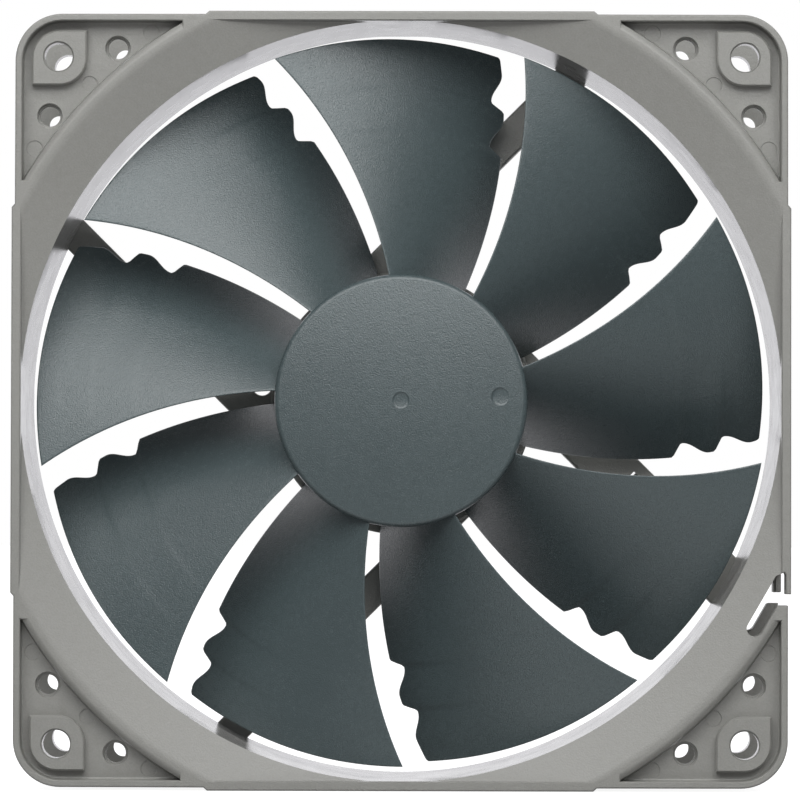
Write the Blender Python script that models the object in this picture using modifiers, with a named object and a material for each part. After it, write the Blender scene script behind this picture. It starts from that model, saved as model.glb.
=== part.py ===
"""A 120 mm case fan, 25 mm deep.

A square frame with open corners carries a motor on four slanted struts. A nine-bladed impeller
spins on the motor's sleeve bearing. The fan stands on its lower edge with its intake facing -Y.

Everything is modelled in the fan's own axes and stood up by the empty "fan_axis": x runs to the
right and y up as seen from the intake, and z runs along the axis towards the intake.
"""
import math

import bmesh
import bpy
from mathutils import Vector

MM = 0.001
GAP = 0.3 * MM

# ---- frame ----
DEPTH = 25.0 * MM
FRONT = DEPTH / 2
REAR = -DEPTH / 2
FLANGE_HALF = 59.0 * MM
PANEL_HALF = 59.5 * MM
PANEL_END = 29.4 * MM
PANEL_RAMP = 0.5 * MM
RAMP_FOOT = 0.03 * MM
PANEL_INNER = 58.2 * MM
CORNER_RADIUS = 7.2 * MM
FLANGE_THICKNESS = 4.0 * MM
BORE_FRONT_RADIUS = 58.1 * MM
BORE_REAR_RADIUS = 57.7 * MM
DUCT_OUTER = 59.4 * MM
INTAKE_RADIUS = 63.5 * MM
INTAKE_DEPTH = 5.0 * MM
EXHAUST_RADIUS = 61.3 * MM
EXHAUST_DEPTH = 4.0 * MM

# ---- corners ----
HOLE_PITCH = 105.0 * MM
HOLE_RADIUS = 2.15 * MM
BOSS_HALF = 4.125 * MM
BOSS_DROP = 1.0 * MM
POCKET_DEPTH = 2.5 * MM
POCKET_WALL = 1.05 * MM
POCKET_INNER = 66.8 * MM
PEG_FAR = 53.9 * MM
PEG_NEAR = 43.5 * MM
PEG_RADIUS = 1.5 * MM
PEG_SEAT_RADIUS = 1.87 * MM
PEG_SEAT_DEPTH = 0.6 * MM

# ---- struts and motor base ----
STRUT_OFFSET = 17.6 * MM
STRUT_WIDTH = 5.0 * MM
STRUT_REAR = REAR + 0.2 * MM
STRUT_FRONT = -9.0 * MM
STRUT_START = 6.0 * MM
STRUT_END = 57.0 * MM
CABLE_STRUT_OFFSET = 16.15 * MM
CABLE_STRUT_WIDTH = 7.9 * MM
CHANNEL_WIDTH = 5.5 * MM
CHANNEL_FLOOR = -10.2 * MM
CHANNEL_START = 9.0 * MM
CHANNEL_END = 62.5 * MM
CLIP_PLACES = [24.3 * MM, 35.8 * MM, 47.3 * MM]
WINDOW_LENGTH = 4.4 * MM
BASE_RADIUS = 21.0 * MM
BASE_RIM = 1.5 * MM
BASE_TOP = -7.6 * MM
BASE_FLOOR = -10.3 * MM
LABEL_RECESS = 0.6 * MM
LABEL_RADIUS = 18.3 * MM
BOSS_TUBE_RADIUS = 6.3 * MM
BOSS_TUBE_TOP = -8.3 * MM

# ---- bearing ----
TUBE_RADIUS = 4.2 * MM
TUBE_WALL = 1.0 * MM
TUBE_TOP = 5.6 * MM
TUBE_BOTTOM = -10.9 * MM
SHAFT_RADIUS = 1.5 * MM
SHAFT_TOP = 10.3 * MM
SHAFT_BOTTOM = -10.05 * MM
BEARING_TOP = 4.4 * MM
BEARING_BOTTOM = -8.8 * MM
RUNNING_CLEARANCE = 0.08 * MM

# ---- rotor ----
BLADES = 9
BLADE_PITCH = math.radians(360.0 / BLADES)
HUB_RADIUS = 19.35 * MM
HUB_FRONT = 12.2 * MM
HUB_BOTTOM = -7.0 * MM
HUB_WALL = 1.3 * MM
HUB_CROWN = 1.5 * MM
HUB_EDGE = 0.6 * MM
TIP_RADIUS = 56.0 * MM
YOKE_WALL = 0.9 * MM
YOKE_BOTTOM = -6.6 * MM
MAGNET_WALL = 1.7 * MM
MAGNET_TOP = 6.5 * MM
MAGNET_BOTTOM = -5.5 * MM
AIR_GAP = 0.65 * MM

# ---- blade: angles and heights at the root and the tip ----
LEADING_ROOT = math.radians(15.6)
LEADING_TIP = math.radians(30.4)
TRAILING_ROOT = math.radians(20.5)
TRAILING_TIP = math.radians(34.2)
LEADING_HEIGHTS = (10.6 * MM, 8.6 * MM)
TRAILING_HEIGHTS = (-5.6 * MM, -4.4 * MM)
CAMBER = 0.34
BLADE_THICKNESS = 1.7 * MM
NOTCH_PAIRS = [(40.9 * MM, 47.8 * MM), (42.0 * MM, 48.7 * MM), (43.8 * MM, 50.1 * MM)]
NOTCH_ANGLES = (math.radians(3.2), math.radians(2.7))
NOTCH_STEP = 0.6 * MM
NOTCH_RUN = 4.6 * MM

# ---- stator ----
POLES = 4
STATOR_TOP = 3.5 * MM
STATOR_BOTTOM = -2.5 * MM
STATOR_BORE = TUBE_RADIUS + GAP
NECK_HALF = 1.8 * MM
SHOE_DEPTH = 1.6 * MM
SHOE_HALF_ANGLE = math.radians(38.0)
CORE_RING = 7.3 * MM
INSULATOR = 1.0 * MM
COIL_INNER_RADIUS = 8.5 * MM
COIL_OUTER_RADIUS = 11.4 * MM
COIL_BUILD = 1.9 * MM

# ---- circuit board ----
BOARD_TOP = -7.0 * MM
BOARD_THICKNESS = 1.0 * MM
BOARD_RADIUS = 15.2 * MM
PIN_RADIUS = 0.35 * MM
PIN_CIRCLE = 7.2 * MM

SEGMENTS = 80


def clear_scene():
    for obj in list(bpy.data.objects):
        bpy.data.objects.remove(obj, do_unlink=True)


def make_material(name, colour, roughness, metallic=0.0):
    """A Principled material with one colour, roughness and metallic value."""
    material = bpy.data.materials.new(name)
    material.use_nodes = True
    shader = material.node_tree.nodes["Principled BSDF"]
    shader.inputs["Base Color"].default_value = (*colour, 1.0)
    shader.inputs["Roughness"].default_value = roughness
    shader.inputs["Metallic"].default_value = metallic
    return material


def shade(mesh):
    """Round faces smooth, with an edge kept wherever two faces meet at more than 32 degrees."""
    mesh.shade_smooth()
    mesh.set_sharp_from_angle(angle=math.radians(32.0))


def place(name, mesh, collection, parent):
    """A new object in a collection, hung on the empty that carries it."""
    obj = bpy.data.objects.new(name, mesh)
    collection.objects.link(obj)
    obj.parent = parent
    return obj


def evaluated_mesh(obj):
    bpy.context.view_layer.update()
    graph = bpy.context.evaluated_depsgraph_get()
    return bpy.data.meshes.new_from_object(obj.evaluated_get(graph))


def turned(name, profile, collection, parent, closed=True, segments=SEGMENTS):
    """A shape turned about z from (radius, height) points that run down its outer side."""
    outline = bpy.data.meshes.new(name + "_profile")
    count = len(profile)
    edges = [(i, (i + 1) % count) for i in range(count if closed else count - 1)]
    outline.from_pydata([(r, 0.0, z) for r, z in profile], edges, [])
    obj = place(name, outline, collection, parent)
    screw = obj.modifiers.new("turn", "SCREW")
    screw.steps = segments
    screw.render_steps = segments
    screw.use_merge_vertices = True
    screw.merge_threshold = 0.00001
    mesh = evaluated_mesh(obj)
    obj.modifiers.clear()
    obj.data = mesh
    shade(mesh)
    return obj


def ring(name, outer, inner, bottom, top, collection, parent, segments=48):
    """A plain washer or tube."""
    profile = [(outer, top), (outer, bottom), (inner, bottom), (inner, top)]
    return turned(name, profile, collection, parent, segments=segments)


def plate(name, outlines, bottom, top, collection, parent):
    """Flat outlines filled and extruded from one height to another. Inner outlines are holes."""
    curve = bpy.data.curves.new(name + "_outline", "CURVE")
    curve.dimensions = "2D"
    curve.fill_mode = "BOTH"
    curve.extrude = (top - bottom) / 2
    for outline in outlines:
        spline = curve.splines.new("POLY")
        spline.points.add(len(outline) - 1)
        for point, (x, y) in zip(spline.points, outline):
            point.co = (x, y, 0.0, 1.0)
        spline.use_cyclic_u = True
    drawn = place(name + "_outline", curve, collection, None)
    mesh = evaluated_mesh(drawn)
    bpy.data.objects.remove(drawn)
    work = bmesh.new()
    work.from_mesh(mesh)
    bmesh.ops.remove_doubles(work, verts=work.verts, dist=0.000001)
    bmesh.ops.translate(work, verts=work.verts, vec=(0.0, 0.0, (top + bottom) / 2))
    work.to_mesh(mesh)
    work.free()
    shade(mesh)
    return place(name, mesh, collection, parent)


def block(name, size, centre, collection, parent, turn=0.0):
    """A box of a given size, centred on a point and turned about z."""
    mesh = bpy.data.meshes.new(name)
    work = bmesh.new()
    bmesh.ops.create_cube(work, size=1.0)
    bmesh.ops.scale(work, vec=size, verts=work.verts)
    work.to_mesh(mesh)
    work.free()
    obj = place(name, mesh, collection, parent)
    obj.location = centre
    obj.rotation_euler = (0.0, 0.0, turn)
    return obj


def rod(name, radius, bottom, top, at, collection, parent, segments=24):
    """A plain cylinder along z at a point of the fan's face."""
    mesh = bpy.data.meshes.new(name)
    work = bmesh.new()
    bmesh.ops.create_cone(work, cap_ends=True, segments=segments, radius1=radius,
                          radius2=radius, depth=top - bottom)
    work.to_mesh(mesh)
    work.free()
    shade(mesh)
    obj = place(name, mesh, collection, parent)
    obj.location = (at[0], at[1], (top + bottom) / 2)
    return obj


def combine(target, other, operation):
    """Add one Boolean step to a body. The other shape is only a tool and is not a part."""
    step = target.modifiers.new(other.name, "BOOLEAN")
    step.operation = operation
    step.solver = "EXACT"
    step.object = other
    other.hide_render = True
    other.display_type = "WIRE"


def mirror(obj, centre, axes):
    """Mirror a corner's tool to the other corners, and to the other flange for axis 2."""
    step = obj.modifiers.new("corners", "MIRROR")
    for axis in range(3):
        step.use_axis[axis] = axis in axes
    step.mirror_object = centre
    step.use_mirror_merge = False


def arc(centre, radius, start, end, steps):
    """Points along an arc, both ends included. Angles are in radians."""
    points = []
    for i in range(steps + 1):
        angle = start + (end - start) * i / steps
        points.append((centre[0] + radius * math.cos(angle), centre[1] + radius * math.sin(angle)))
    return points


def turn_points(points, angle):
    cosine, sine = math.cos(angle), math.sin(angle)
    return [(x * cosine - y * sine, x * sine + y * cosine) for x, y in points]


def smooth_step(value, start, end):
    t = min(max((value - start) / (end - start), 0.0), 1.0)
    return t * t * (3.0 - 2.0 * t)


# ---- frame ----

def frame_outline():
    """The square outline: flat side panels, set slightly proud of the rounded corners."""
    corner = FLANGE_HALF - CORNER_RADIUS
    side = [
        (FLANGE_HALF + RAMP_FOOT, -PANEL_END - PANEL_RAMP),
        (PANEL_HALF, -PANEL_END),
        (PANEL_HALF, PANEL_END),
        (FLANGE_HALF + RAMP_FOOT, PANEL_END + PANEL_RAMP),
    ]
    side += arc((corner, corner), CORNER_RADIUS, 0.0, math.pi / 2, 6)
    points = []
    for quarter in range(4):
        points += turn_points(side, quarter * math.pi / 2)
    return points


def bore_profile():
    """Down the duct: the rounded intake lip, the plain bore and the short exhaust flare."""
    sweep = math.radians(65.0)
    steps = 6
    lip = FRONT + 0.1 * MM
    profile = [(0.0, lip), (INTAKE_RADIUS, lip)]
    for i in range(steps + 1):
        angle = sweep * i / steps
        inward = (INTAKE_RADIUS - BORE_FRONT_RADIUS) * math.sin(angle) / math.sin(sweep)
        down = INTAKE_DEPTH * (1 - math.cos(angle)) / (1 - math.cos(sweep))
        profile.append((INTAKE_RADIUS - inward, FRONT - down))
    profile.append((BORE_REAR_RADIUS, REAR + EXHAUST_DEPTH))
    profile.append((EXHAUST_RADIUS, REAR - 0.1 * MM))
    profile.append((0.0, REAR - 0.1 * MM))
    return profile


def corner_gap_outline():
    """The open space between the two flanges at one corner, outside the duct's wall."""
    shelf = 20.0 * MM
    start = math.asin(shelf / DUCT_OUTER)
    inner = arc((0, 0), DUCT_OUTER, math.pi / 2 - start, start, 10)
    clear = 63.0 * MM
    end = PANEL_END - PANEL_RAMP
    return inner + [
        (PANEL_INNER, shelf),
        (PANEL_INNER, end),
        (clear, end),
        (clear, clear),
        (end, clear),
        (end, PANEL_INNER),
        (shelf, PANEL_INNER),
    ]


def pocket_outline():
    """One corner's recess, from the rim's thin wall in to a circle about the axis."""
    wall = FLANGE_HALF - POCKET_WALL
    radius = CORNER_RADIUS - POCKET_WALL
    centre = wall - radius
    tail = math.asin(wall / POCKET_INNER)
    blunt = math.radians(1.2)
    points = arc((0, 0), POCKET_INNER, tail - blunt, math.pi / 2 - tail + blunt, 8)
    points.append((wall, POCKET_INNER * math.cos(tail) + 1.6 * MM))
    points += arc((centre, centre), radius, 0.0, math.pi / 2, 4)
    points.append((POCKET_INNER * math.cos(tail) + 1.6 * MM, wall))
    return points


def boss_outline():
    """A square pad about a screw hole, rounded towards the frame's corner and its centre."""
    middle = HOLE_PITCH / 2
    flat = 0.02 * MM
    rounding = BOSS_HALF - flat
    points = [(middle + BOSS_HALF, middle - BOSS_HALF)]
    points += arc((middle + flat, middle + flat), rounding, 0.0, math.pi / 2, 4)
    points.append((middle - BOSS_HALF, middle + BOSS_HALF))
    points += arc((middle - flat, middle - flat), rounding, math.pi, 1.5 * math.pi, 4)
    return points


def cable_slot_outline():
    """The slanted cable slot by the lower right corner: a round end, an open mouth, a hook."""
    end = (53.75 * MM, -35.25 * MM)
    slant = math.radians(62.0)
    points = arc(end, 1.05 * MM, slant + math.pi / 2, slant + 1.5 * math.pi, 6)
    points += [
        (57.4 * MM, -31.1 * MM),
        (63.0 * MM, -31.1 * MM),
        (63.0 * MM, -29.4 * MM),
        (58.0 * MM, -29.4 * MM),
        (58.0 * MM, -26.6 * MM),
        (57.7 * MM, -26.2 * MM),
        (57.3 * MM, -26.5 * MM),
    ]
    return points


def strut_frame(direction, along, offset):
    """A point at a distance along a strut's direction and to its left, seen from the intake."""
    x, y = turn_points([(along, offset)], direction)[0]
    return x, y


def strut_block(name, direction, offset, width, start, end, bottom, top, tools, parent):
    x, y = strut_frame(direction, (start + end) / 2, offset)
    size = (end - start, width, top - bottom)
    return block(name, size, (x, y, (top + bottom) / 2), tools, parent, direction)


def add_struts(frame, tools, axis):
    """Four slanted struts from the duct's wall to the motor base. The last holds the cable."""
    for index in range(4):
        direction = math.radians(45.0 + 90.0 * index)
        cable = index == 3
        offset = CABLE_STRUT_OFFSET if cable else STRUT_OFFSET
        width = CABLE_STRUT_WIDTH if cable else STRUT_WIDTH
        strut = strut_block("strut_%d" % (index + 1), direction, offset, width, STRUT_START,
                            STRUT_END, STRUT_REAR, STRUT_FRONT, tools, axis)
        combine(frame, strut, "UNION")


def add_motor_base(frame, tools, axis):
    """The shallow cup behind the motor, with a hollow boss for the bearing tube."""
    recess = REAR + LABEL_RECESS
    rim = BASE_RADIUS - BASE_RIM
    profile = [
        (BASE_RADIUS, BASE_TOP),
        (BASE_RADIUS, REAR),
        (LABEL_RADIUS, REAR),
        (LABEL_RADIUS, recess),
        (TUBE_RADIUS + GAP, recess),
        (TUBE_RADIUS + GAP, BOSS_TUBE_TOP),
        (BOSS_TUBE_RADIUS, BOSS_TUBE_TOP),
        (BOSS_TUBE_RADIUS, BASE_FLOOR),
        (rim, BASE_FLOOR),
        (rim, BASE_TOP),
    ]
    cup = turned("motor_base", profile, tools, axis, segments=40)
    # Clear the strut ends out of the cup before the cup itself is joined on.
    hollow = rod("cup_hollow", rim - 0.2 * MM, REAR - 1 * MM, 0.0, (0, 0), tools, axis, 40)
    combine(frame, hollow, "DIFFERENCE")
    combine(frame, cup, "UNION")


def cut_cable_channel(frame, tools, axis):
    """The cable's channel, open to the rear, with a window and a clip at each holding place."""
    direction = math.radians(315.0)
    channel = strut_block("cable_channel", direction, CABLE_STRUT_OFFSET, CHANNEL_WIDTH,
                          CHANNEL_START, CHANNEL_END, REAR - 1 * MM, CHANNEL_FLOOR, tools, axis)
    combine(frame, channel, "DIFFERENCE")
    for index, place_along in enumerate(CLIP_PLACES):
        start = place_along - WINDOW_LENGTH / 2
        end = place_along + WINDOW_LENGTH / 2
        window = strut_block("clip_window_%d" % (index + 1), direction,
                             CABLE_STRUT_OFFSET, CHANNEL_WIDTH - 1.2 * MM, start, end,
                             CHANNEL_FLOOR - 0.5 * MM, STRUT_FRONT + 1 * MM, tools, axis)
        combine(frame, window, "DIFFERENCE")
        inset = CHANNEL_WIDTH / 2
        clip = strut_block("cable_clip_%d" % (index + 1), direction,
                           CABLE_STRUT_OFFSET + inset - 0.6 * MM, 2.2 * MM,
                           start + 0.4 * MM, end - 0.4 * MM,
                           STRUT_REAR + 0.1 * MM, STRUT_REAR + 0.9 * MM, tools, axis)
        combine(frame, clip, "UNION")


def build_frame(parts, tools, axis, material):
    """The one-piece moulding: duct, two flanges, side panels, struts and motor base."""
    frame = plate("frame", [frame_outline()], REAR, FRONT, parts, axis)
    frame.data.materials.append(material)

    bore = turned("bore", bore_profile(), tools, axis, closed=False)
    inside = block("panel_faces", (2 * PANEL_INNER, 2 * PANEL_INNER, 2 * DEPTH), (0, 0, 0),
                   tools, axis)
    combine(bore, inside, "INTERSECT")
    combine(frame, bore, "DIFFERENCE")

    gap_top = FRONT - FLANGE_THICKNESS
    gap = plate("corner_gap", [corner_gap_outline()], -gap_top, gap_top, tools, axis)
    mirror(gap, axis, (0, 1))
    combine(frame, gap, "DIFFERENCE")

    pocket = plate("corner_pocket", [pocket_outline()], FRONT - POCKET_DEPTH, FRONT + 1 * MM,
                   tools, axis)
    boss = plate("screw_boss", [boss_outline()], FRONT - FLANGE_THICKNESS, FRONT - BOSS_DROP,
                 tools, axis)
    combine(pocket, boss, "DIFFERENCE")
    mirror(pocket, axis, (0, 1, 2))
    combine(frame, pocket, "DIFFERENCE")

    hole = rod("screw_holes", HOLE_RADIUS, REAR - 1 * MM, FRONT + 1 * MM,
               (HOLE_PITCH / 2, HOLE_PITCH / 2), tools, axis, 16)
    mirror(hole, axis, (0, 1))
    combine(frame, hole, "DIFFERENCE")

    seat_floor = FRONT - POCKET_DEPTH - PEG_SEAT_DEPTH
    for index, at in enumerate([(PEG_NEAR, PEG_FAR), (PEG_FAR, PEG_NEAR)]):
        peg = rod("peg_hole_%d" % (index + 1), PEG_RADIUS, REAR - 1 * MM, FRONT + 1 * MM, at,
                  tools, axis, 10)
        mirror(peg, axis, (0, 1))
        combine(frame, peg, "DIFFERENCE")
        seat = rod("peg_seat_%d" % (index + 1), PEG_SEAT_RADIUS, seat_floor, FRONT + 1 * MM, at,
                   tools, axis, 10)
        mirror(seat, axis, (0, 1, 2))
        combine(frame, seat, "DIFFERENCE")

    add_struts(frame, tools, axis)
    add_motor_base(frame, tools, axis)
    cut_cable_channel(frame, tools, axis)
    slot = plate("cable_slot", [cable_slot_outline()], REAR - 1 * MM, FRONT + 1 * MM, tools, axis)
    combine(frame, slot, "DIFFERENCE")
    return frame


# ---- impeller ----

def notch_cut(radius, pair):
    """How far, in angle, the two stepped notches set the trailing edge back at a radius."""
    cut = 0.0
    for place_out, depth in zip(pair, NOTCH_ANGLES):
        past = radius - place_out
        rise = smooth_step(past, -NOTCH_STEP, NOTCH_STEP)
        fall = smooth_step(past, NOTCH_STEP, NOTCH_RUN)
        cut += depth * (rise - fall)
    return cut


def blade_point(radius, chord):
    """The blade's middle surface: radius, and 0 at the leading to 1 at the trailing edge."""
    span = (radius - HUB_RADIUS) / (TIP_RADIUS - HUB_RADIUS)
    sweep = span + 0.10 * span * (span - 1)
    leading = LEADING_ROOT + (LEADING_TIP - LEADING_ROOT) * sweep + BLADE_PITCH
    trailing = TRAILING_ROOT + (TRAILING_TIP - TRAILING_ROOT) * (span + 0.22 * span * (span - 1))
    top = LEADING_HEIGHTS[0] + (LEADING_HEIGHTS[1] - LEADING_HEIGHTS[0]) * span
    low = TRAILING_HEIGHTS[0] + (TRAILING_HEIGHTS[1] - TRAILING_HEIGHTS[0]) * span
    angle = leading + (trailing - leading) * chord
    height = top + (low - top) * (chord + CAMBER * chord * (chord - 1))
    return Vector((radius * math.cos(angle), radius * math.sin(angle), height))


def blade_normal(radius, chord):
    step = 0.0001
    along = blade_point(radius, chord + step) - blade_point(radius, chord - step)
    across = blade_point(radius + step * MM, chord) - blade_point(radius - step * MM, chord)
    return along.cross(across).normalized()


def blade_radii(pair):
    """Stations from inside the hub's wall to the tip, closer together at the notches."""
    radii = [HUB_RADIUS - 0.75 * MM, 23.0 * MM, 28.0 * MM, 33.0 * MM, 37.5 * MM]
    for place_out in pair:
        radii += [place_out - NOTCH_STEP, place_out, place_out + NOTCH_STEP]
        radii.append(place_out + 0.55 * NOTCH_RUN)
    radii += [TIP_RADIUS - 1.2 * MM, TIP_RADIUS]
    return radii


def blade(name, index, tools, axis):
    """One blade, lofted from root to tip through thin cambered sections."""
    pair = NOTCH_PAIRS[index % len(NOTCH_PAIRS)]
    chords = [0.0, 0.06, 0.22, 0.42, 0.62, 0.82, 1.0]
    work = bmesh.new()
    rows = []
    for radius in blade_radii(pair):
        angle_span = LEADING_TIP + BLADE_PITCH - TRAILING_TIP
        reach = 1.0 - notch_cut(radius, pair) / angle_span
        front = []
        back = []
        for chord in chords:
            s = chord * reach
            bulk = 0.42 + 0.58 * math.sin(math.pi * min(1.0, 0.12 + 0.80 * chord))
            offset = blade_normal(radius, s) * (BLADE_THICKNESS / 2 * bulk)
            if offset.z < 0:
                offset = -offset
            middle = blade_point(radius, s)
            front.append(work.verts.new(middle + offset))
            back.append(work.verts.new(middle - offset))
        rows.append(front + back[::-1])
    count = len(rows[0])
    for lower, upper in zip(rows, rows[1:]):
        for i in range(count):
            j = (i + 1) % count
            work.faces.new((lower[i], lower[j], upper[j], upper[i]))
    half = count // 2
    for row in (rows[0], rows[-1]):
        for i in range(half - 1):
            work.faces.new((row[i], row[i + 1], row[count - 2 - i], row[count - 1 - i]))
    bmesh.ops.recalc_face_normals(work, faces=work.faces)
    bmesh.ops.triangulate(work, faces=work.faces)
    mesh = bpy.data.meshes.new(name)
    work.to_mesh(mesh)
    work.free()
    shade(mesh)
    obj = place(name, mesh, tools, axis)
    obj.rotation_euler = (0.0, 0.0, index * BLADE_PITCH)
    return obj


def build_impeller(parts, tools, axis, material):
    """The hub cap and its nine blades, moulded in one piece."""
    profile = [
        (0.0, HUB_FRONT),
        (HUB_RADIUS - HUB_EDGE, HUB_FRONT),
        (HUB_RADIUS - 0.29 * HUB_EDGE, HUB_FRONT - 0.29 * HUB_EDGE),
        (HUB_RADIUS, HUB_FRONT - HUB_EDGE),
        (HUB_RADIUS, HUB_BOTTOM),
        (HUB_RADIUS - HUB_WALL, HUB_BOTTOM),
        (HUB_RADIUS - HUB_WALL, HUB_FRONT - HUB_CROWN),
        (0.0, HUB_FRONT - HUB_CROWN),
    ]
    impeller = turned("impeller", profile, parts, axis, closed=False, segments=60)
    impeller.data.materials.append(material)
    for index in range(BLADES):
        combine(impeller, blade("blade_%d" % (index + 1), index, tools, axis), "UNION")
    dimples = [((0.0, 0.0), 1.2 * MM), ((15.3 * MM, 0.6 * MM), 1.3 * MM)]
    for index, (at, radius) in enumerate(dimples):
        dimple = rod("hub_dimple_%d" % (index + 1), radius, HUB_FRONT - 0.35 * MM,
                     HUB_FRONT + 1 * MM, at, tools, axis, 12)
        combine(impeller, dimple, "DIFFERENCE")
    return impeller


def build_rotor(parts, tools, axis, materials):
    """Everything that spins: impeller, steel yoke, magnet, bushing, shaft, slinger and clip."""
    build_impeller(parts, tools, axis, materials["blade plastic"])

    crown = HUB_FRONT - HUB_CROWN - GAP
    yoke_radius = HUB_RADIUS - HUB_WALL - GAP
    bore = SHAFT_RADIUS + GAP
    profile = [
        (yoke_radius, crown),
        (yoke_radius, YOKE_BOTTOM),
        (yoke_radius - YOKE_WALL, YOKE_BOTTOM),
        (yoke_radius - YOKE_WALL, crown - YOKE_WALL),
        (bore, crown - YOKE_WALL),
        (bore, crown),
    ]
    yoke = turned("rotor_yoke", profile, parts, axis, segments=48)
    yoke.data.materials.append(materials["steel"])

    magnet_radius = yoke_radius - YOKE_WALL - GAP
    magnet = ring("ring_magnet", magnet_radius, magnet_radius - MAGNET_WALL, MAGNET_BOTTOM,
                  MAGNET_TOP, parts, axis)
    magnet.data.materials.append(materials["ferrite"])

    under_crown = crown - YOKE_WALL - GAP
    bushing = ring("shaft_bushing", 4.0 * MM, bore, TUBE_TOP + 1.0 * MM, under_crown, parts, axis,
                   24)
    bushing.data.materials.append(materials["brass"])

    slinger_bottom = TUBE_TOP + GAP
    slinger = ring("oil_slinger", 2.8 * MM, bore, slinger_bottom, slinger_bottom + 0.4 * MM,
                   parts, axis, 20)
    slinger.data.materials.append(materials["white nylon"])

    groove = 1.1 * MM
    edge = 0.25 * MM
    profile = [
        (0.0, SHAFT_TOP),
        (SHAFT_RADIUS - edge, SHAFT_TOP),
        (SHAFT_RADIUS, SHAFT_TOP - edge),
        (SHAFT_RADIUS, -9.1 * MM),
        (groove, -9.1 * MM),
        (groove, -9.7 * MM),
        (SHAFT_RADIUS - 0.1 * MM, -9.7 * MM),
        (SHAFT_RADIUS - 3 * edge, SHAFT_BOTTOM),
        (0.0, SHAFT_BOTTOM),
    ]
    shaft = turned("shaft", profile, parts, axis, closed=False, segments=24)
    shaft.data.materials.append(materials["steel"])

    slot = math.radians(22.0)
    outline = arc((0, 0), 2.5 * MM, slot, 2 * math.pi - slot, 16)
    outline += arc((0, 0), groove + GAP, 2 * math.pi - 1.6 * slot, 1.6 * slot, 12)
    clip = plate("retaining_clip", [outline], -9.55 * MM, -9.25 * MM, parts, axis)
    clip.data.materials.append(materials["white nylon"])


# ---- bearing and stator ----

def build_bearing(parts, axis, materials):
    """The brass tube, the sleeve in it, the pad under the shaft, and the seals at both ends."""
    inside = TUBE_RADIUS - TUBE_WALL - GAP
    tube = ring("bearing_tube", TUBE_RADIUS, TUBE_RADIUS - TUBE_WALL, TUBE_BOTTOM, TUBE_TOP,
                parts, axis, 40)
    tube.data.materials.append(materials["brass"])
    sleeve = ring("sleeve_bearing", inside, SHAFT_RADIUS + RUNNING_CLEARANCE, BEARING_BOTTOM,
                  BEARING_TOP, parts, axis, 32)
    sleeve.data.materials.append(materials["bronze"])
    seal_bottom = BEARING_TOP + GAP
    seal = ring("oil_seal", inside, SHAFT_RADIUS + GAP, seal_bottom, seal_bottom + 0.5 * MM,
                parts, axis, 24)
    seal.data.materials.append(materials["rubber"])
    pad_top = SHAFT_BOTTOM - GAP
    pad = rod("thrust_pad", inside, pad_top - 0.5 * MM, pad_top, (0, 0), parts, axis)
    pad.data.materials.append(materials["white nylon"])
    cap_top = TUBE_BOTTOM - GAP
    cap = rod("bearing_cap", TUBE_RADIUS, cap_top - 0.6 * MM, cap_top, (0, 0), parts, axis, 32)
    cap.data.materials.append(materials["rubber"])


def stator_outline(ring_radius, neck_half, reach, shoe_half_angle, shoe_depth):
    """Four T-shaped poles on a ring, drawn anticlockwise."""
    points = []
    neck_root = math.sqrt(ring_radius ** 2 - neck_half ** 2)
    neck_angle = math.asin(neck_half / ring_radius)
    shoe_back = reach - shoe_depth
    for pole in range(POLES):
        part = [(neck_root, -neck_half), (shoe_back - 0.2 * MM, -neck_half)]
        part += arc((0, 0), shoe_back, -shoe_half_angle * 0.5, -shoe_half_angle, 3)
        part += arc((0, 0), reach, -shoe_half_angle, shoe_half_angle, 12)
        part += arc((0, 0), shoe_back, shoe_half_angle, shoe_half_angle * 0.5, 3)
        part += [(shoe_back - 0.2 * MM, neck_half), (neck_root, neck_half)]
        gap_end = math.pi / 2 - neck_angle
        part += arc((0, 0), ring_radius, neck_angle, gap_end, 4)[1:-1]
        points += turn_points(part, pole * math.pi / 2)
    return points


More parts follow.
